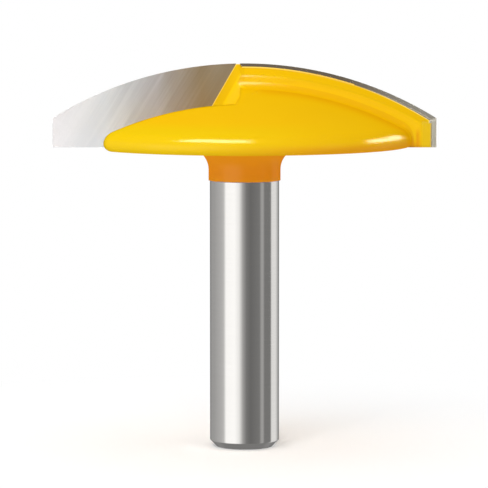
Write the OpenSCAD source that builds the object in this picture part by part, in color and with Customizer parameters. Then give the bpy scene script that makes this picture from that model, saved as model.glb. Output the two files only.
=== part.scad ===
// Two-wing bowl router bit: one turned and milled steel body with two brazed carbide inserts.
// The origin is the centre of the shank's end face, and +Z runs up the axis to the cutting tip.
// The blades lie along X. Seen from the tip the bit turns anticlockwise, so the front insert,
// at -X, shows its rake face to -Y, and the rear insert, at +X, shows its rake face to +Y.
// Everything that belongs to one wing is drawn for the rear one and turned half round for the other.

/* [Shank] */
// Shank diameter, the half-inch collet size
shank_d = 12.7; // [8:0.1:16]
// Bare length of the shank, from its end face to the painted neck
shank_len = 49.1; // [30:0.1:70]
// Chamfer at the shank's end
shank_chamfer = 1.2; // [0.4:0.1:2]

/* [Neck] */
// How far the neck stands proud of the shank all round
neck_step = 0.25; // [0.1:0.05:1]
// Length of the neck, from the shank to the level of the blades' lower ends
neck_len = 6.0; // [5:0.1:12]
// Radius between the neck and the underside of the head
neck_fillet = 3.8; // [1:0.1:4.2]

/* [Cutting profile] */
// Cutting diameter, over the two straight side edges
cut_d = 70.3; // [60:0.1:84]
// Radius of the cutting arc across the end
nose_r = 66.7; // [62:0.1:72]
// Height of the straight side edge
side_edge = 5.35; // [4:0.1:8]

/* [Head] */
// How far the rim of the disc lies inside the cutting circle
rim_inset = 3.95; // [3:0.05:6]
// Radius of the dome on top of the disc
dome_r = 61.3; // [58:0.1:66]
// Height of the rim's lowest point above the blades' lower ends
rim_lift = 0.3; // [0:0.05:0.6]
// Radius of the lower half of the rim
rim_round = 1.4; // [1:0.05:1.8]
// Radius of the upper half of the rim, where it runs into the dome
rim_shoulder = 2.5; // [2:0.05:3.5]
// How far the underside falls from the rim to the neck
under_fall = 0.5; // [0:0.05:1]

/* [Carbide inserts] */
// Thickness of an insert
insert_t = 2.5; // [1.5:0.1:3.5]
// Width of an insert, square to the cutting arc
insert_w = 9.5; // [7:0.1:11]
// Relief angle behind the cutting arc, in degrees
relief = 14; // [6:0.5:18]
// Relief angle behind the side edge, in degrees
side_relief = 22; // [8:0.5:24]
// How far the rear insert reaches past the axis, so that the bit can plunge
centre_cross = 0.85; // [0.3:0.05:1.5]
// Steel left between the ends of the two inserts
centre_gap = 0.65; // [0.3:0.05:1.5]
// How far the steel lies below the carbide where they meet
steel_step = 0.1; // [0.05:0.05:0.3]

/* [Webs] */
// Thickness of a wing, with its insert
web_t = 7.0; // [5:0.1:8]
// Relief angle under the outer ends of the wings, in degrees
under_relief = 3.5; // [1:0.5:5]
// Radius between the back of a wing and the disc
web_fillet = 2.0; // [0.5:0.1:2.2]

/* [Gullets] */
// Width of a gullet, from the rake face to the lobe in front
gullet_w = 18.6; // [14:0.1:22]
// Lean of the gullet's inner wall, in degrees from the vertical
gullet_lean = 30; // [20:1:36]
// How far the gullet's floor lies below the insert
gullet_floor = 0.3; // [0.1:0.1:1]
// Distance in front of the rake face to the first bend of the inner wall
first_bend = 7.1; // [4:0.1:7.3]
// How far the inner wall has moved inwards at its first bend
first_shift = 1.9; // [0.5:0.05:2.5]
// Distance in front of the rake face to the second bend of the inner wall
second_bend = 7.8; // [7.5:0.1:12]
// How far the inner wall has moved inwards at its second bend
second_shift = 3.9; // [2.6:0.05:5]

/* [Hidden] */

// Smoothness of the preview
$fn = 180;
// Overlap that joins solids and clears cuts
lap = 0.5;
// A length beyond every outline of the head
far = 60;

// Rounds a length to a thousandth of a millimetre, so that sums of such lengths stay exact
function round_off(length) = round(1000 * length) / 1000;

shank_r = shank_d / 2;
neck_r = shank_r + neck_step;
cut_r = cut_d / 2;
rim_r = cut_r - rim_inset;

// Heights up the axis
blade_z = shank_len + neck_len;
tip_z = blade_z + side_edge + nose_r - sqrt(pow(nose_r, 2) - pow(cut_r, 2));
nose_z = tip_z - nose_r;
rim_z = blade_z + rim_lift + rim_round;
under_z = blade_z + rim_lift;
root_z = under_z - under_fall;

// The dome touches the rim's upper rounding from outside
shoulder_r = rim_r - rim_shoulder;
dome_z = rim_z - sqrt(pow(dome_r - rim_shoulder, 2) - pow(shoulder_r, 2));
shoulder_angle = asin(shoulder_r / (dome_r - rim_shoulder));
// The dome lies this much below that touch, so that it ends in a clean line on the rounding
dome_dip = 0.01;

// Where the inserts end near the axis, measured out along each wing
front_reach = centre_cross + centre_gap;
rear_reach = -centre_cross;

// An insert's inner edge is straight: it starts insert_w below the tip and runs out past the lower ends
insert_root_z = tip_z - insert_w;
insert_out = sqrt(pow(nose_r - insert_w, 2) - pow(blade_z - nose_z, 2));
insert_slope = (insert_root_z - blade_z) / insert_out;
// Where the steel of a wing starts, past the axis, so that the other wing's gullet trims it
web_start = -front_reach - insert_w * tan(gullet_lean) - lap;

// The ball that rounds the back of a wing takes at most these shares of the wall it leans on
over_share = 0.85;
past_share = 1.2;
// Height of that wall over the dome, and its reach past the rim
back_over = nose_z + nose_r - steel_step - web_t * tan(relief) - dome_z - sqrt(pow(dome_r, 2) - pow(web_t, 2));
back_past = cut_r - steel_step - web_t * tan(side_relief) - sqrt(pow(rim_r, 2) - pow(web_t, 2));
ball_r = round_off(min(web_fillet, over_share * back_over, past_share * back_past));
// It rolls along the disc at this depth behind the rake face
ball_depth = web_t + ball_r;
// It presses into the dome by this much, so that the rounding ends in a clean line
ball_sink = 0.04;
// Radius of its path over the dome, and the angle from the vertical at which it reaches the rim
ball_path = round_off(sqrt(pow(dome_r + ball_r, 2) - pow(ball_depth, 2)) - ball_sink);
turn_x = sqrt(pow(shoulder_r, 2) - pow(ball_depth, 2));
turn_angle = asin(turn_x / (dome_r - rim_shoulder));
// Distance from the dome's centre to the point about which the ball turns down over the rim
turn_out = ball_path - rim_shoulder - ball_r;
// It rolls from the start of the wing's steel to the rim, then turns down this far
dome_sweep = turn_angle + asin(-web_start / dome_r);
rim_sweep = 120;
// It ends this far above the undersides of the disc and the wing
ball_clear = 0.2;
ball_end_z = max(under_z, blade_z + web_t * tan(under_relief)) + ball_clear;

// Stands an outline in X and Z upright, and gives it a depth towards -Y
module upright(depth) {
    rotate([90, 0, 0]) linear_extrude(depth) children();
}

// Turns what is drawn for the rear wing to the front wing
module front_wing() {
    rotate([0, 0, 180]) children();
}

// Bare shank with its chamfered end
module shank() {
    rotate_extrude() polygon([
        [0, 0],
        [shank_r - shank_chamfer, 0],
        [shank_r, shank_chamfer],
        [shank_r, shank_len + lap],
        [0, shank_len + lap],
    ]);
}

// Neck with the radius that carries it into the underside of the head
module neck() {
    rotate_extrude() {
        translate([0, shank_len]) square([neck_r, root_z + lap - shank_len]);
        difference() {
            translate([0, root_z - neck_fillet]) square([neck_r + neck_fillet, neck_fillet + lap]);
            translate([neck_r + neck_fillet, root_z - neck_fillet]) circle(neck_fillet);
        }
    }
}

// Half section of the disc: a dome on a rounded rim, with a nearly flat underside
module disc_section() {
    core_r = rim_r - rim_round;
    shoulder_tip = [
        shoulder_r + 2 * rim_shoulder * sin(shoulder_angle),
        rim_z + 2 * rim_shoulder * cos(shoulder_angle),
    ];
    intersection() {
        translate([0, dome_z - dome_dip]) circle(dome_r);
        polygon([[0, rim_z], [shoulder_r, rim_z], shoulder_tip, [0, shoulder_tip[1] + far]]);
    }
    intersection() {
        translate([shoulder_r, rim_z]) circle(rim_shoulder);
        translate([0, rim_z]) square([rim_r + lap, rim_shoulder + lap]);
    }
    translate([core_r, rim_z]) circle(rim_round);
    polygon([[0, root_z], [neck_r, root_z], [core_r, under_z], [core_r, rim_z + lap], [0, rim_z + lap]]);
}

module disc() {
    rotate_extrude() disc_section();
}

// Space inside the cutting arc, narrowing behind the rake face at the relief angle
module inside_arc(depth, below = 0) {
    translate([0, 0, nose_z]) rotate([90, 0, 0])
        cylinder(h = depth, r1 = nose_r - below, r2 = nose_r - below - depth * tan(relief));
}

// Space inside the side edge, narrowing behind the rake face at the side relief angle
module inside_edge(below = 0) {
    translate([cut_r - below, 0, 0]) rotate([0, 0, -side_relief])
        translate([-2 * far, -far, 0]) cube([2 * far, 2 * far, tip_z + far]);
}

// Space above a wing's underside, which rises behind the rake face at the under relief angle
module above_underside() {
    translate([-far, 0, blade_z]) rotate([-under_relief, 0, 0])
        translate([0, -far, 0]) cube([3 * far, far + lap, far]);
}

// Outline of an insert's blank on the rake face, from its leaning inner end out past the side edge
module insert_outline(reach) {
    lean = tan(gullet_lean);
    corner_x = (reach + insert_w * lean) / (1 - insert_slope * lean);
    polygon([
        [reach - lap * lean, tip_z + lap],
        [corner_x, insert_root_z - corner_x * insert_slope],
        [insert_out + lap / insert_slope, blade_z - lap],
        [cut_r + lap, blade_z - lap],
        [cut_r + lap, tip_z + lap],
    ]);
}

// Carbide insert with its three ground reliefs
module insert(reach) {
    intersection() {
        upright(insert_t) insert_outline(reach);
        inside_arc(insert_t);
        inside_edge();
        above_underside();
    }
}

// Steel wing behind an insert. Past the rim it reaches down to the blades' lower ends
module web() {
    intersection() {
        upright(web_t) polygon([
            [web_start, rim_z],
            [shoulder_r, rim_z],
            [shoulder_r + rim_round / 2, blade_z - lap],
            [cut_r, blade_z - lap],
            [cut_r, tip_z],
            [web_start, tip_z],
        ]);
        inside_arc(web_t, steel_step);
        inside_edge(steel_step);
        above_underside();
    }
}

// Ring that fills the corner between a wing's back and a round base of radius base_r
module corner_ring(base_r, sweep) {
    inner = max(base_r - ball_r, 0);
    path_r = base_r + ball_r;
    rotate_extrude(angle = sweep) difference() {
        translate([inner, web_t - lap]) square([path_r - inner, ball_r + lap]);
        translate([path_r, ball_depth]) circle(ball_r);
    }
}

// Stands a ring upright on the dome's centre, and turns its start to where the dome meets the rim
module at_turn() {
    translate([0, 0, dome_z]) rotate([90, 0, 0]) rotate([0, 0, 90 - turn_angle]) children();
}

// Rounding between the back of a wing and the disc: over the dome, then down round the rim
module web_rounding() {
    at_turn() corner_ring(ball_path - ball_r, dome_sweep);
    intersection() {
        at_turn() translate([turn_out, 0, 0]) mirror([0, 1, 0]) corner_ring(rim_shoulder, rim_sweep);
        translate([0, -far, ball_end_z]) cube([2 * far, 2 * far, tip_z - ball_end_z]);
    }
}

// Space cut away in front of a rake face that starts at reach. It stops short of the other wing
module gullet(reach, limit) {
    fall = cos(gullet_lean);
    floor_z = insert_root_z - gullet_floor;
    intersection() {
        translate([reach, 0, tip_z]) rotate([0, -gullet_lean, 0])
            translate([0, 0, -far]) linear_extrude(2 * far) polygon([
                [0, 0],
                [2 * far, 0],
                [2 * far, gullet_w],
                [-second_shift * fall, gullet_w],
                [-second_shift * fall, second_bend],
                [-first_shift * fall, first_bend],
            ]);
        translate([0, gullet_w + lap, 0]) upright(gullet_w + 2 * lap) polygon([
            [limit, floor_z - limit * insert_slope],
            [far, floor_z - far * insert_slope],
            [far, tip_z + far],
            [limit, tip_z + far],
        ]);
    }
}

module front_gullet() {
    front_wing() gullet(front_reach, centre_cross);
}

module rear_gullet() {
    gullet(rear_reach, -front_reach);
}

// Pocket that an insert is brazed into, open to the gullet
module seat(reach) {
    translate([0, lap, 0]) upright(insert_t + lap) insert_outline(reach);
}

module head() {
    difference() {
        union() {
            disc();
            web();
            web_rounding();
            front_wing() {
                web();
                web_rounding();
            }
        }
        front_gullet();
        rear_gullet();
        seat(rear_reach);
        front_wing() seat(front_reach);
    }
}

module body() {
    color("silver") shank();
    color("gold") {
        neck();
        head();
    }
}

module front_insert() {
    color("gray") difference() {
        front_wing() insert(front_reach);
        rear_gullet();
    }
}

module rear_insert() {
    color("gray") difference() {
        insert(rear_reach);
        front_gullet();
    }
}

body();
front_insert();
rear_insert();
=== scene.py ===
# %% [markdown]
# # A bowl router bit
# The bit is one piece of turned and milled steel with two carbide inserts brazed into it. The CAD
# frame already holds the three solids at their real size, so this lesson is about what makes them
# look real: the light they stand in, the camera, and the finish of each surface.

# %% Load the solids
import bpy
import math
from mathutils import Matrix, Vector

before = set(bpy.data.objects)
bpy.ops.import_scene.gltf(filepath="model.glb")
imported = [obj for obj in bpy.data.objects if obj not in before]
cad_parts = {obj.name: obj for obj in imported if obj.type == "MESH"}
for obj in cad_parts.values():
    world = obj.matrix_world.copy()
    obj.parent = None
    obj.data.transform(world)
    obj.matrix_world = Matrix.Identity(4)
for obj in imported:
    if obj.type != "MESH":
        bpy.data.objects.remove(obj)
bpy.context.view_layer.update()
print("nodes:", sorted(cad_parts))

# %% [markdown]
# Lengths of the real bit are easiest to read in millimetres, while Blender works in metres here.
# Colours are easiest to read as sRGB hex, while the shaders want linear numbers. Small functions do
# the changing, so every number below can be checked with a ruler or an eye.

# %% Units and colours
MM = 0.001


def linear(hex_colour):
    """Linear RGBA of an sRGB hex colour."""
    channels = []
    for start in (0, 2, 4):
        value = int(hex_colour[start:start + 2], 16) / 255
        if value <= 0.04045:
            channels.append(value / 12.92)
        else:
            channels.append(((value + 0.055) / 1.055) ** 2.4)
    return (*channels, 1.0)


# %% [markdown]
# ## The camera
# The photograph was taken with a long lens from a little above the cutting tip, so the head's dome
# shows as a thin band and the end of the shank curves gently downwards. A long lens keeps the
# shank's sides almost parallel. The place, the tilt and the lens below were fitted to points that
# can be named in the photograph, such as the corners of the inserts and the ends of the shank.

# %% Set up the camera
EYE = Vector((-0.095 * MM, -600 * MM, 91.3 * MM))
TILT = math.radians(5.14)
FOCAL_PIXELS = 3281
FRAME_PIXELS = 488
SENSOR_WIDTH = 36
NEAREST = 0.01

lens = bpy.data.cameras.new("camera")
lens.sensor_width = SENSOR_WIDTH
lens.lens = FOCAL_PIXELS / FRAME_PIXELS * SENSOR_WIDTH
lens.clip_start = NEAREST
camera = bpy.data.objects.new("camera", lens)
camera.location = EYE
camera.rotation_euler = (math.radians(90) - TILT, 0, 0)
bpy.context.collection.objects.link(camera)
bpy.context.scene.camera = camera
print("lens", round(lens.lens, 1), "mm")

# %% [markdown]
# ## A helper for nodes
# Light and finishes are built from shader nodes. Adding a node, setting its values and plugging its
# inputs is always the same work, so one function does all of it: plain values go on the node's
# sockets, and another node becomes a link. Settings that come back often get a plain name.

# %% Add a node with its settings and links
PLUS = {"operation": "ADD"}
MINUS = {"operation": "SUBTRACT"}
TIMES = {"operation": "MULTIPLY"}
TIMES_THEN_PLUS = {"operation": "MULTIPLY_ADD"}
LARGER_OF = {"operation": "MAXIMUM"}
MORE_THAN = {"operation": "GREATER_THAN"}
LESS_THAN = {"operation": "LESS_THAN"}
WITHOUT_SIGN = {"operation": "ABSOLUTE"}
SMOOTH = {"interpolation_type": "SMOOTHSTEP"}
COLOURS = {"data_type": "RGBA"}


def add_node(tree, kind, settings=None, **inputs):
    """Add a node, change its settings and fill its inputs.

    An input is named by its label, with _ for a space, or by i and its number. It takes a plain
    value, an output of a node, or a node, which gives the first of its outputs that is in use.
    """
    node = tree.nodes.new(kind)
    for name, value in (settings or {}).items():
        setattr(node, name, value)
    for name, value in inputs.items():
        key = int(name[1:]) if name[0] == "i" and name[1:].isdigit() else name.replace("_", " ")
        socket = node.inputs[key]
        if isinstance(value, bpy.types.Node):
            value = next(output for output in value.outputs if output.enabled)
        if isinstance(value, bpy.types.NodeSocket):
            tree.links.new(value, socket)
        else:
            socket.default_value = value
    return node


print("node helper ready")

# %% [markdown]
# A softbox in the room and a patch of thin paint on the bit have one thing in common: both are
# regions with a soft or a sharp border on each side. The next function draws such a region as the
# product of its borders. It is used for the light first and for the paint later.

# %% Draw a region with soft or sharp borders


def region(tree, *borders, unit=MM):
    """Product of the borders of a region: one inside it and nothing outside.

    A border is (value, start, end, before, after): while the value goes from start to end, the
    border goes smoothly from before to after, or from 0 to 1 if these two are left out. It is sharp
    if start and end are the same. A node made earlier can stand in for a border.
    """
    product = None
    for border in borders:
        if isinstance(border, tuple):
            value, start, end, before, after = (*border, 0.0, 1.0)[:5]
            if start == end:
                sharp = MORE_THAN if after > before else LESS_THAN
                border = add_node(tree, "ShaderNodeMath", sharp, i0=value, i1=start * unit)
            else:
                border = add_node(tree, "ShaderNodeMapRange", SMOOTH, Value=value,
                                  From_Min=start * unit, From_Max=end * unit,
                                  To_Min=before, To_Max=after)
        if product is None:
            product = border
        else:
            product = add_node(tree, "ShaderNodeMath", TIMES, i0=product, i1=border)
    return product


print("region helper ready")

# %% [markdown]
# ## The studio
# Ground steel is a mirror, so it shows the room and not a colour of its own. The stripes down the
# shank in the photograph tell what stood round the bit: a broad white softbox at the left front, a
# dim room with one paler strip at the right front, another softbox behind at the right, and a wall
# behind at the left that gets darker towards the back. A world can hold such a room as numbers: the
# bearing of a ray picks its brightness from a ramp.

# %% The walls that the metal mirrors
world = bpy.data.worlds.new("studio")
bpy.context.scene.world = world
world.use_nodes = True
room = world.node_tree
room.nodes.clear()

ray = add_node(room, "ShaderNodeTexCoord")
direction = add_node(room, "ShaderNodeSeparateXYZ", Vector=ray.outputs["Generated"])
height = direction.outputs["Z"]
toward_camera = add_node(room, "ShaderNodeMath", TIMES, i0=direction.outputs["Y"], i1=-1.0)
bearing = add_node(room, "ShaderNodeMath", {"operation": "ARCTAN2"},
                   i0=direction.outputs["X"], i1=toward_camera)
turn = add_node(room, "ShaderNodeMath", TIMES_THEN_PLUS, i0=bearing, i1=1 / (2 * math.pi), i2=0.5)

# Bearing in degrees from the camera, positive to the right, and the brightness there
WALL_LEVELS = [
    (-180, 0.20), (-162, 0.24), (-142, 0.42), (-120, 0.46), (-84, 0.60), (-73, 0.72),
    (-65, 1.36), (-34, 1.42), (-18, 1.15), (-6, 0.50), (6, 0.25), (20, 0.19), (40, 0.23),
    (52, 0.25), (57, 0.46), (65, 0.49), (70, 0.25), (97, 0.25), (103, 1.0), (126, 1.0),
    (142, 0.62), (156, 0.26), (180, 0.20),
]
# A ramp's colours go up to 1, so the levels are divided by this and multiplied again afterwards
BRIGHTEST = 1.5


def fill_stops(colour_ramp, levels):
    """Give a colour ramp a stop for each (position, colour) pair."""
    stops = colour_ramp.elements
    while len(stops) < len(levels):
        stops.new(0.5)
    for stop, (position, colour) in zip(stops, levels):
        stop.position = position
        stop.color = colour


wall_ramp = add_node(room, "ShaderNodeValToRGB", Fac=turn)
fill_stops(wall_ramp.color_ramp,
           [(degrees / 360 + 0.5, [level / BRIGHTEST] * 3 + [1]) for degrees, level in WALL_LEVELS])
walls = add_node(room, "ShaderNodeMath", TIMES, i0=wall_ramp, i1=BRIGHTEST)
print("stops:", len(WALL_LEVELS))

# %% [markdown]
# The walls end a little above eye level, and above them the room is almost dark. Far below, a dim
# bench takes their place. Two more softboxes hang over the walls: one high at the left front, which
# draws the long highlight on the rim, and one behind at the right, which draws the short bright leaf
# beside the rear wing. All of them fade at their edges, because a real panel has no hard border in
# a metal that is only ground.

# %% The high softboxes, the ceiling and the bench
CEILING_LEVEL = 0.03
BENCH_LEVEL = 0.26
# Half the width of a panel's soft edge: in radians at its sides, in Z at its top and bottom
SIDE_FADE = 0.05
HEIGHT_FADE = 0.04


def rise(degrees):
    """Z of a direction with this elevation."""
    return math.sin(math.radians(degrees))


def softbox(bearings, elevations, level):
    """Light of a panel between two bearings and two elevations, all in degrees."""
    left, right = [math.radians(degrees) for degrees in bearings]
    bottom, top = [rise(degrees) for degrees in elevations]
    return region(room,
                  (bearing, left - SIDE_FADE, left + SIDE_FADE, 0, level),
                  (bearing, right - SIDE_FADE, right + SIDE_FADE, 1, 0),
                  (height, bottom - HEIGHT_FADE, bottom + HEIGHT_FADE),
                  (height, top - HEIGHT_FADE, top + HEIGHT_FADE, 1, 0), unit=1)


WALL_END = (rise(8), rise(24))
BENCH_START = (rise(-55), rise(-25))
lit_room = region(room, walls, (height, *WALL_END, 1, 0), (height, *BENCH_START), unit=1)
lights = [
    region(room, (height, *WALL_END, 0, CEILING_LEVEL), unit=1),
    region(room, (height, *BENCH_START, BENCH_LEVEL, 0), unit=1),
    softbox((-56, 4), (42, 64), 24.0),
    softbox((94, 136), (8, 24), 28.0),
]
for light in lights:
    lit_room = add_node(room, "ShaderNodeMath", PLUS, i0=lit_room, i1=light)
print("lights over the walls:", len(lights))

# %% [markdown]
# Only shiny surfaces look at this room. Matt ones get an even white light that is stronger from the
# left, as the faces of the head show, and the camera sees the plain white of the photograph's
# background. Splitting the rays in this way lets the mirror and the paint be matched one by one.

# %% Share the room out between the rays
EVEN_LIGHT = 0.94
LEFT_SHARE = 0.24
WHITE = (1, 1, 1, 1)

light_path = add_node(room, "ShaderNodeLightPath")
shiny = light_path.outputs["Is Glossy Ray"]
seen = add_node(room, "ShaderNodeMath", LARGER_OF, i0=light_path.outputs["Is Camera Ray"],
                i1=light_path.outputs["Is Transmission Ray"])
from_left = add_node(room, "ShaderNodeMath", TIMES_THEN_PLUS, i0=direction.outputs["X"],
                     i1=-LEFT_SHARE, i2=EVEN_LIGHT)
even = add_node(room, "ShaderNodeBackground", Color=WHITE, Strength=from_left)
mirrored = add_node(room, "ShaderNodeBackground", Color=WHITE, Strength=lit_room)
plain = add_node(room, "ShaderNodeBackground", Color=WHITE, Strength=1.0)
on_surfaces = add_node(room, "ShaderNodeMixShader", i0=shiny, i1=even, i2=mirrored)
whole = add_node(room, "ShaderNodeMixShader", i0=seen, i1=on_surfaces, i2=plain)
add_node(room, "ShaderNodeOutputWorld", Surface=whole)
print("even light:", EVEN_LIGHT)

# %% [markdown]
# One large area lamp above the left front adds the direction that the even light lacks: edges that
# face up catch more of it, and the neck under the head lies in soft shade. Its own mirror image
# isn't wanted, because the room above already holds the softboxes that the metal shows.

# %% The key lamp
HEAD_CENTRE = Vector((0, 0, 60 * MM))
# Place and size in metres, power in watts
LAMP_PLACE = Vector((-0.30, -0.78, 0.66))
LAMP_SIZE = 0.5
LAMP_POWER = 3.4

lamp = bpy.data.lights.new("key_lamp", "AREA")
lamp.shape = "SQUARE"
lamp.size = LAMP_SIZE
lamp.energy = LAMP_POWER
lamp_holder = bpy.data.objects.new("key_lamp", lamp)
lamp_holder.location = LAMP_PLACE
lamp_holder.rotation_euler = (HEAD_CENTRE - LAMP_PLACE).to_track_quat("-Z", "Y").to_euler()
bpy.context.collection.objects.link(lamp_holder)
lamp_holder.visible_glossy = False
lamp_holder.visible_camera = False

# %% [markdown]
# ## The floor
# The bit stands on its shank's end, so there is a floor under it with a soft contact shadow. A real
# product table is swept up behind the object so that no edge shows. Here the floor fades to the
# same plain white as the background a hand's breadth away. It is matt white card, which scatters
# light evenly and mirrors nothing. Shiny surfaces look straight through it, because the room that
# they mirror goes on below.

# %% Lay the floor
# All three in metres
FLOOR_RADIUS = 1.2
FADE_START = 0.008
FADE_END = 0.10

bpy.ops.mesh.primitive_circle_add(vertices=96, radius=FLOOR_RADIUS, fill_type="NGON",
                                  location=(0, 0, 0))
floor = bpy.context.active_object
floor.name = "floor"


def new_finish(name):
    """A material with an empty node tree."""
    finish = bpy.data.materials.new(name)
    finish.use_nodes = True
    finish.node_tree.nodes.clear()
    return finish, finish.node_tree


floor_finish, tree = new_finish("pale_floor")
place = add_node(tree, "ShaderNodeTexCoord")
distance = add_node(tree, "ShaderNodeVectorMath", {"operation": "LENGTH"}, i0=place.outputs["Object"])
path = add_node(tree, "ShaderNodeLightPath")
# The floor sends a little less light up to the bit than it shows to the camera
bounce = add_node(tree, "ShaderNodeMix", COLOURS, i0=path.outputs["Is Diffuse Ray"],
                  i6=linear("FDFDFD"), i7=linear("EEEEEE"))
matt = add_node(tree, "ShaderNodeBsdfDiffuse", Color=bounce)
glow = add_node(tree, "ShaderNodeEmission", Color=WHITE, Strength=1.0)
far_and_seen = region(tree, (distance, FADE_START, FADE_END), path.outputs["Is Camera Ray"], unit=1)
surface = add_node(tree, "ShaderNodeMixShader", i0=far_and_seen, i1=matt, i2=glow)
clear = add_node(tree, "ShaderNodeBsdfTransparent")
laid = add_node(tree, "ShaderNodeMixShader", i0=path.outputs["Is Glossy Ray"], i1=surface, i2=clear)
add_node(tree, "ShaderNodeOutputMaterial", Surface=laid)
floor.data.materials.append(floor_finish)
print("floor radius:", FLOOR_RADIUS, "m")

# %% [markdown]
# ## Finding a place on the bit
# A finish needs to know where it is: on the shank or on the head, on an insert's rake face or behind
# it. Object coordinates tell that in metres from the centre of the shank's end. Both wings are alike
# and half a turn apart, so the distance out along X and the distance from the plane of the wings,
# both without their sign, serve the two of them at once.

# %% Measure a place and scale a pattern


def place_on_bit(tree):
    """Distance out along the wings, distance from their plane, and the node with X, Y and Z."""
    coordinates = add_node(tree, "ShaderNodeTexCoord")
    spot = add_node(tree, "ShaderNodeSeparateXYZ", Vector=coordinates.outputs["Object"])
    out = add_node(tree, "ShaderNodeMath", WITHOUT_SIGN, i0=spot.outputs["X"])
    depth = add_node(tree, "ShaderNodeMath", WITHOUT_SIGN, i0=spot.outputs["Y"])
    return out, depth, spot


def pattern_place(tree, waves_per_mm, lean=0):
    """Coordinates for a pattern with so many waves per millimetre, turned about Y by lean degrees."""
    coordinates = add_node(tree, "ShaderNodeTexCoord")
    leaning = add_node(tree, "ShaderNodeMapping", {"vector_type": "TEXTURE"},
                       Vector=coordinates.outputs["Object"], Rotation=(0, math.radians(lean), 0))
    return add_node(tree, "ShaderNodeVectorMath", TIMES, i0=leaning,
                    i1=[waves / MM for waves in waves_per_mm])


print("place helpers ready")

# %% [markdown]
# The steel and the carbide share one border: the edge of the paint on the relief behind a cutting
# edge. Near the axis the spray lapped a little way over the carbide. Towards the wing's end the
# wheel that ground the relief took the paint off the steel as well, and left a bare strip. Both
# finishes ask the function below how far behind that edge a place lies, so that they agree.

# %% Find the edge of the paint on a relief
INSERT_THICKNESS = 2.5
OVERSPRAY = 0.45
GROUND_BARE = 1.0
LAP_START = 2
BARE_START = 20
BARE_END = 36
SIDE_TOP = 59.7


def past_paint_edge(tree, out, depth, height_up):
    """How far a place on a relief lies behind the edge of the paint."""
    lapped = add_node(tree, "ShaderNodeMapRange", SMOOTH, Value=out,
                      From_Min=LAP_START * MM, From_Max=BARE_START * MM,
                      To_Min=(INSERT_THICKNESS - OVERSPRAY) * MM, To_Max=INSERT_THICKNESS * MM)
    bared = region(tree, (out, BARE_START, BARE_END), (height_up, SIDE_TOP, SIDE_TOP))
    edge = add_node(tree, "ShaderNodeMath", TIMES_THEN_PLUS, i0=bared, i1=GROUND_BARE * MM, i2=lapped)
    return add_node(tree, "ShaderNodeMath", MINUS, i0=depth, i1=edge)


print("paint ends", INSERT_THICKNESS - OVERSPRAY, "to", INSERT_THICKNESS + GROUND_BARE, "mm deep")

# %% [markdown]
# ## Ground steel
# The shank is cylindrically ground tool steel. The wheel ran round it, so its scratches are rings:
# noise that changes fast along the axis and hardly at all around it. Real ones are about 0.02 mm
# apart, too fine for this picture, so they are drawn 0.11 mm apart. Steel is a full metal and keeps
# the default IOR. Fine grinding leaves a roughness of 0.1 to 0.2, and the sharp stripes in the
# photograph ask for the lower end. A bevel node rounds the edges as a stone does.

# %% The bare steel of the shank
body_finish, tree = new_finish("ground_steel_and_yellow_enamel")
out, depth, spot = place_on_bit(tree)
height_up = spot.outputs["Z"]
across = add_node(tree, "ShaderNodeMath", TIMES, i0=spot.outputs["X"], i1=spot.outputs["Y"])
behind = region(tree, (across, 0, 0, 1, 0))

RINGS_PER_MM = (0.15, 0.15, 9)
STONED_EDGE = 0.25
rings = add_node(tree, "ShaderNodeTexNoise", Vector=pattern_place(tree, RINGS_PER_MM), Scale=1.0,
                 Detail=3.0)
stoned_edges = add_node(tree, "ShaderNodeBevel", {"samples": 8}, Radius=STONED_EDGE * MM)
ring_bump = add_node(tree, "ShaderNodeBump", Strength=0.07, Distance=0.004 * MM, Height=rings,
                     Normal=stoned_edges)
steel_grey = add_node(tree, "ShaderNodeMix", COLOURS, i0=rings, i6=linear("D4D2CF"),
                      i7=linear("DEDCD9"))
steel_rough = add_node(tree, "ShaderNodeMapRange", SMOOTH, Value=rings, From_Min=0.3, From_Max=0.7,
                       To_Min=0.09, To_Max=0.13)
steel = add_node(tree, "ShaderNodeBsdfPrincipled", Base_Color=steel_grey, Metallic=1.0,
                 Roughness=steel_rough, Normal=ring_bump)
print("rings along the axis:", RINGS_PER_MM[2], "per mm")

# %% [markdown]
# ## Yellow enamel
# The head and the neck are sprayed with a yellow enamel that dries to a skin like orange peel, with
# waves about 0.7 mm wide. Its sharp edges are rounded a little. Corners behind a wing, away from the
# axis, are painted a deeper orange as painted shade: an ambient occlusion node finds them, since
# little light gets into them. On the dome at the wing's foot lies a painted shadow below the rounding
# above it.

# %% The enamel's skin, and painted shade in its corners
PEEL_PER_MM = 1.4
CLOUDS_PER_MM = 0.12
PAINTED_EDGE = 1.2
CORNER_SHADE_REACH = 2.2
FOOT_SHADOW_STRENGTH = 0.38

in_mm = pattern_place(tree, (1, 1, 1))
peel = add_node(tree, "ShaderNodeTexNoise", Vector=in_mm, Scale=PEEL_PER_MM, Detail=2.0)
painted_edges = add_node(tree, "ShaderNodeBevel", {"samples": 8}, Radius=PAINTED_EDGE * MM)
peel_bump = add_node(tree, "ShaderNodeBump", Strength=0.10, Distance=0.02 * MM, Height=peel,
                     Normal=painted_edges)

# Painted shade: corners that the ambient occlusion finds are painted a deeper orange
corner = add_node(tree, "ShaderNodeAmbientOcclusion", {"samples": 8}, Distance=CORNER_SHADE_REACH * MM)
openness = region(tree, (corner.outputs["AO"], 0.50, 0.95), unit=1)
shade_behind_wing = region(tree, behind, (out, 4, 12))
shade_held_off = add_node(tree, "ShaderNodeMath", MINUS, i0=1.0, i1=shade_behind_wing)
unshaded_share = add_node(tree, "ShaderNodeMath", LARGER_OF, i0=openness, i1=shade_held_off)

# The rounding ends about 9 mm behind the plane of the wings, and the painted shadow on the dome fades
# out from there
foot = region(tree, (depth, 8.7, 9.1, 0, FOOT_SHADOW_STRENGTH), (depth, 9.2, 15, 1, 0), behind, (out, 0, 5))
unshaded_share = add_node(tree, "ShaderNodeMath", {"operation": "SUBTRACT", "use_clamp": True}, i0=unshaded_share, i1=foot)

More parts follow.
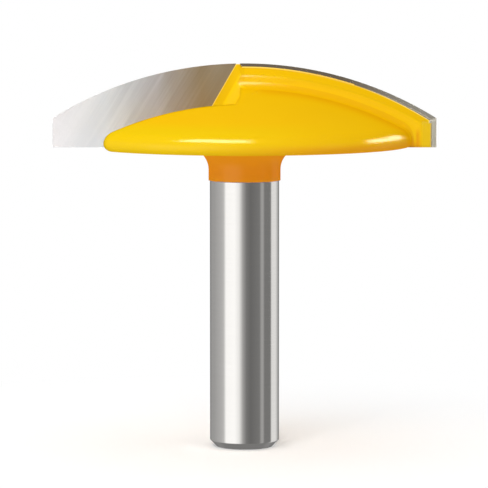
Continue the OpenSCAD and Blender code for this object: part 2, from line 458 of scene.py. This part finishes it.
clouds = add_node(tree, "ShaderNodeTexNoise", Vector=in_mm, Scale=CLOUDS_PER_MM, Detail=1.0)
paint = add_node(tree, "ShaderNodeMix", COLOURS, i0=clouds, i6=linear("E6B205"), i7=linear("E8B607"))
# Painted shade: a deeper orange in corners behind a wing and on the dome at the wing's foot
paint = add_node(tree, "ShaderNodeMix", COLOURS, i0=unshaded_share, i6=linear("D58704"), i7=paint)
# The corners within this reach get the painted shade
print("paint gathers within", CORNER_SHADE_REACH, "mm of a corner")

# %% [markdown]
# The rim in front of a rake face gets painted light, a paler lemon, and the low side of the rim
# behind a wing gets painted shade, a deeper orange. The gullet's inner wall gets painted light too.
# That wall leans by 30 degrees and has two bends, so its place is worked out from the tip's height
# and the depth. The rear gullet starts beyond the axis, because its insert crosses the axis.

# %% Painted light and shade on the rim and the gullet's wall
DISC_RADIUS = 31.2
# Along X, from behind a wing to ahead of it, the rim goes from painted shade to painted light over
# this stretch
AHEAD = (-26, 14)

facing = add_node(tree, "ShaderNodeMath", TIMES_THEN_PLUS, i0=behind, i1=-2.0, i2=1.0)
forward = add_node(tree, "ShaderNodeMath", TIMES, i0=out, i1=facing)
around = add_node(tree, "ShaderNodeCombineXYZ", X=out, Y=depth)
radius = add_node(tree, "ShaderNodeVectorMath", {"operation": "LENGTH"}, i0=around)
rim_ahead_painted_light = region(tree, (forward, *AHEAD), (radius, 25.5, 29.5))
low_rim_painted_shade = region(tree, (height_up, 56.0, 57.6, 1, 0), (forward, *AHEAD, 1, 0),
                 (radius, DISC_RADIUS + 0.1, DISC_RADIUS + 0.7, 1, 0))

TIP_HEIGHT = 70.46
# Run over rise of a wall that leans by 30 degrees
WALL_LEAN = 0.577
# The wall's two stretches past its bends: how much it recedes per mm of depth, and its start in mm
WALL_BENDS = ((0.268, -1.38), (2.857, -19.76))
BEYOND_AXIS = 2.35
below_tip = add_node(tree, "ShaderNodeMath", MINUS, i0=TIP_HEIGHT * MM, i1=height_up)
leaned = add_node(tree, "ShaderNodeMath", TIMES, i0=below_tip, i1=WALL_LEAN)
from_wall = add_node(tree, "ShaderNodeMath", MINUS, i0=leaned, i1=forward)
bends = [add_node(tree, "ShaderNodeMath", TIMES_THEN_PLUS, i0=depth, i1=slope, i2=offset * MM)
         for slope, offset in WALL_BENDS]
bent = add_node(tree, "ShaderNodeMath", LARGER_OF, i0=bends[0], i1=bends[1])
rear_gullet = region(tree, (spot.outputs["Y"], 0, 0))
reach = add_node(tree, "ShaderNodeMath", TIMES_THEN_PLUS, i0=rear_gullet, i1=BEYOND_AXIS * MM, i2=bent)
on_wall = add_node(tree, "ShaderNodeMath", LESS_THAN, i0=from_wall, i1=reach)
# Painted light: the gullet's inner wall is painted a lighter yellow
gullet_wall_painted_light = region(tree, on_wall, (depth, 7.9, 7.9, 1, 0), (out, 6, 8, 1, 0), (height_up, 60, 60),
                     (depth, 5.5, 7.2, 0.25, 1))

# Painted light and painted shade, each with the mask where it is laid
tints = [(rim_ahead_painted_light, "E3BC07"), (low_rim_painted_shade, "E0990A"), (gullet_wall_painted_light, "F3C908")]
print("tints:", len(tints))

# %% [markdown]
# The reliefs, the wing's flat back and its side relief get painted light: a lighter yellow than the
# lamps leave on them. Beside the rounding at the wing's foot a dark orange streak is painted shade in
# its corner, and the neck is painted a deeper orange all round as the shade under the head. Last comes
# a pale line along an insert, a painted highlight on the edge of the paint at the seam. The tints are
# laid over each other in this order.

# %% Painted light on the wing, painted shade at its foot and neck, and a painted highlight
WING_BACK = 7.0
# The side relief slants in by this much per mm of depth, from just inside the side edge
SIDE_SLANT = 0.404
SIDE_REACH = 34.9
# The foot of an insert falls by this much per mm outwards, from this height at the axis
ROOT_FALL = 0.233
ROOT_HEIGHT = 60.6
# The painted highlight is full up to the first distance from the seam and gone at the second
SEAM_HIGHLIGHT_EDGE = (0.40, 0.75)

# Painted light: the reliefs, the wing's flat back and its side relief are painted a lighter yellow
relief_painted_light = region(tree, behind, (depth, WING_BACK - 0.05, WING_BACK - 0.05, 1, 0),
                   (height_up, 58.6, 58.6))
back_painted_light = region(tree, behind, (depth, WING_BACK - 0.1, WING_BACK - 0.1),
                 (depth, WING_BACK + 0.15, WING_BACK + 0.15, 1, 0), (height_up, 56, 57))
slanted = add_node(tree, "ShaderNodeMath", TIMES_THEN_PLUS, i0=depth, i1=SIDE_SLANT, i2=out)
side_painted_light = region(tree, behind, (slanted, SIDE_REACH, SIDE_REACH))
# Painted shade: a dark orange streak beside the rounding at the wing's foot, as shade in its corner
foot_corner_shade = region(tree, behind, (out, 30.8, 31.3), (out, 31.35, 32.0, 1, 0),
                     (height_up, 57.6, 59.4, 0.55, 0), (depth, 6.5, 6.5))
# Painted shade: the neck is a deeper orange all round, as shade under the head
neck_painted_shade = region(tree, (height_up, 53.5, 55.5, 1, 0))

past_edge = past_paint_edge(tree, out, depth, height_up)
from_seam = add_node(tree, "ShaderNodeMix", i0=behind, i2=depth, i3=past_edge)
off_seam = add_node(tree, "ShaderNodeMath", WITHOUT_SIGN, i0=from_seam)
over_root = add_node(tree, "ShaderNodeMath", TIMES_THEN_PLUS, i0=out, i1=ROOT_FALL, i2=height_up)
# Painted highlight: a pale line along the seam beside an insert
seam_highlight = region(tree, (off_seam, *SEAM_HIGHLIGHT_EDGE, 1, 0), (over_root, ROOT_HEIGHT, ROOT_HEIGHT))

tints += [(relief_painted_light, "EDB906"), (back_painted_light, "ECBD04"), (side_painted_light, "F8CA06"),
          (foot_corner_shade, "D98306"), (neck_painted_shade, "E89308"), (seam_highlight, "FFD75E")]
for share, tint in tints:
    paint = add_node(tree, "ShaderNodeMix", COLOURS, i0=share, i6=paint, i7=linear(tint))
print("tints:", len(tints))

# %% [markdown]
# Enamel has an IOR near 1.5, so it would mirror 4 percent of the room head on and far more along the
# surface. The photograph shows less than that, and no bright edges. So the coat itself mirrors
# nothing, which an IOR of 1 says, and a thin gloss of 2.2 percent lies over it everywhere. The tape
# that masked the shank left an edge that wanders by a tenth of a millimetre. The ground strip behind
# an insert's outer end is steel with a duller, warmer look than the shank's.

# %% Put the body's finish together
PAINT_START = 49.1
TAPE_WANDER = 0.25
TAPE_FADE = 0.12
TAPE_WAVES_PER_MM = 0.6
GLOSS_SHARE = 0.022
WARM_GLOSS = (1.0, 0.95, 0.84, 1)

coat = add_node(tree, "ShaderNodeBsdfPrincipled", Base_Color=paint, Roughness=0.5, IOR=1.0,
                Normal=peel_bump)
gloss = add_node(tree, "ShaderNodeBsdfGlossy", Color=WARM_GLOSS, Roughness=0.16, Normal=peel_bump)
enamel = add_node(tree, "ShaderNodeMixShader", i0=GLOSS_SHARE, i1=coat, i2=gloss)

relief_steel = add_node(tree, "ShaderNodeBsdfPrincipled", Base_Color=linear("CAC3B2"), Metallic=0.5,
                        Roughness=0.24)
bare = region(tree, behind, (past_edge, 0, 0, 1, 0), (out, BARE_START, BARE_START),
              (height_up, SIDE_TOP, SIDE_TOP))
head = add_node(tree, "ShaderNodeMixShader", i0=bare, i1=enamel, i2=relief_steel)

tape = add_node(tree, "ShaderNodeTexNoise", Vector=in_mm, Scale=TAPE_WAVES_PER_MM, Detail=2.0)
wander = add_node(tree, "ShaderNodeMath", MINUS, i0=tape, i1=0.5)
taped_height = add_node(tree, "ShaderNodeMath", TIMES_THEN_PLUS, i0=wander, i1=TAPE_WANDER * MM,
                        i2=height_up)
masked = region(tree, (taped_height, PAINT_START - TAPE_FADE, PAINT_START + TAPE_FADE))
whole_body = add_node(tree, "ShaderNodeMixShader", i0=masked, i1=steel, i2=head)
add_node(tree, "ShaderNodeOutputMaterial", Surface=whole_body)


def dress(node_name, finish):
    """Give every slot of a piece the finish."""
    for slot_in_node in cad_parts[node_name].material_slots:
        slot_in_node.material = finish
    print(node_name, "wears", finish.name)


dress("body", body_finish)

# %% [markdown]
# ## Ground carbide
# The inserts are sintered tungsten carbide, harder and darker than steel, ground flat with a diamond
# wheel. The wheel left fine straight streaks that lean to the right. They are a few hundredths of a
# millimetre wide, too fine to show, so the pattern starts with streaks 0.6 mm wide and adds finer
# ones, over broad bands 3 mm wide. Brazing heats the inner ends most: a brown and olive tint is left
# there, and it fades out through blue grey towards the cutting corners. The same ramp also paints the
# faces almost white towards the cutting corners, as a painted reflection of the light.

# %% Streaks, heat tint and painted reflection of a rake face
carbide_finish, tree = new_finish("ground_carbide")
out, depth, spot = place_on_bit(tree)
height_up = spot.outputs["Z"]

STREAK_LEAN = 32
STREAKS_PER_MM = (1.6, 1.6, 0.035)
BANDS_PER_MM = (0.35, 0.35, 0.02)
streaks = add_node(tree, "ShaderNodeTexNoise", Scale=1.0, Detail=6.0, Roughness=0.78,
                   Vector=pattern_place(tree, STREAKS_PER_MM, STREAK_LEAN))
bands = add_node(tree, "ShaderNodeTexNoise", Scale=1.0, Detail=2.0,
                 Vector=pattern_place(tree, BANDS_PER_MM, STREAK_LEAN))
half_bands = add_node(tree, "ShaderNodeMath", TIMES, i0=bands, i1=0.5)
streak_mix = add_node(tree, "ShaderNodeMath", TIMES_THEN_PLUS, i0=streaks, i1=0.5, i2=half_bands)

# The heat tint and its painted reflection run over 36 mm, a little more than an insert's reach.
# Light streaks take them from up to half the spread further out, and dark ones from further in
HEAT_AND_REFLECTION_SPREAD = 5
HEAT_AND_REFLECTION_LENGTH = 36
# Brown and olive near the axis is heat tint; the pale stops towards the corners are painted reflection
HEAT_AND_REFLECTION_STOPS = [
    (0.02, "867C6A"), (0.15, "897F6C"), (0.22, "8B7E66"), (0.37, "9C9791"), (0.44, "AEAFB4"),
    (0.57, "BABFC5"), (0.70, "D9DEE3"), (0.83, "E5E6E8"), (0.98, "F4F1F2"),
]
uneven = add_node(tree, "ShaderNodeMath", MINUS, i0=streak_mix, i1=0.5)
heat_and_reflection_reach = add_node(tree, "ShaderNodeMath", TIMES_THEN_PLUS, i0=uneven, i1=HEAT_AND_REFLECTION_SPREAD * MM, i2=out)
heat_and_reflection_share = add_node(tree, "ShaderNodeMath", {"operation": "DIVIDE"}, i0=heat_and_reflection_reach,
                      i1=HEAT_AND_REFLECTION_LENGTH * MM)
heat_and_reflection = add_node(tree, "ShaderNodeValToRGB", Fac=heat_and_reflection_share)
fill_stops(heat_and_reflection.color_ramp, [(position, linear(tint)) for position, tint in HEAT_AND_REFLECTION_STOPS])
streak_light = region(tree, (streak_mix, 0.38, 0.62, 0, 0.28), unit=1)
rake_face = add_node(tree, "ShaderNodeMix", {"data_type": "RGBA", "blend_type": "SOFT_LIGHT"},
                     i0=streak_light, i6=heat_and_reflection, i7=WHITE)
print("heat stops:", len(HEAT_AND_REFLECTION_STOPS))

# %% [markdown]
# Behind the cutting edge the reliefs are ground with a coarser wheel. They look darker and warmer,
# most of all near the axis, and they mirror more because they are seen almost edge on. Carbide grains
# in a metal binder are only part metal, so the finish is half metallic with the default IOR. Near
# the axis the paint laps over the back of the relief; it is real paint, given the pale yellow of a
# painted highlight.

# %% The reliefs, and the carbide's finish put together
relieved = region(tree, (depth, 0.03, 0.10))
relief_tint = add_node(tree, "ShaderNodeMix", COLOURS, i0=region(tree, (out, 16, 34)),
                       i6=linear("94846E"), i7=linear("CEC7B6"))
side_relief = region(tree, (height_up, 59.6, 60.2, 1, 0))
relief_tint = add_node(tree, "ShaderNodeMix", COLOURS, i0=side_relief, i6=relief_tint,
                       i7=linear("B0A993"))
ground = add_node(tree, "ShaderNodeMix", COLOURS, i0=relieved, i6=rake_face, i7=relief_tint)
streak_bump = add_node(tree, "ShaderNodeBump", Strength=0.25, Distance=0.004 * MM, Height=streaks)
carbide_rough = region(tree, (relieved, 0, 1, 0.48, 0.24), unit=1)
carbide = add_node(tree, "ShaderNodeBsdfPrincipled", Base_Color=ground, Metallic=0.5,
                   Roughness=carbide_rough, Normal=streak_bump)

# Real lapped paint, coloured pale yellow as a painted highlight
lapped_paint_highlight = add_node(tree, "ShaderNodeBsdfPrincipled", Base_Color=linear("FFD75E"), Roughness=0.5,
                     IOR=1.0)
painted = region(tree, (past_paint_edge(tree, out, depth, height_up), 0, 0))
whole_insert = add_node(tree, "ShaderNodeMixShader", i0=painted, i1=carbide, i2=lapped_paint_highlight)
add_node(tree, "ShaderNodeOutputMaterial", Surface=whole_insert)
dress("front_insert", carbide_finish)
dress("rear_insert", carbide_finish)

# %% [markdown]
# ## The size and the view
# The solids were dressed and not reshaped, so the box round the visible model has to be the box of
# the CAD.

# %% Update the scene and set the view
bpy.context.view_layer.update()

scene = bpy.context.scene
scene.view_settings.view_transform = "Standard"
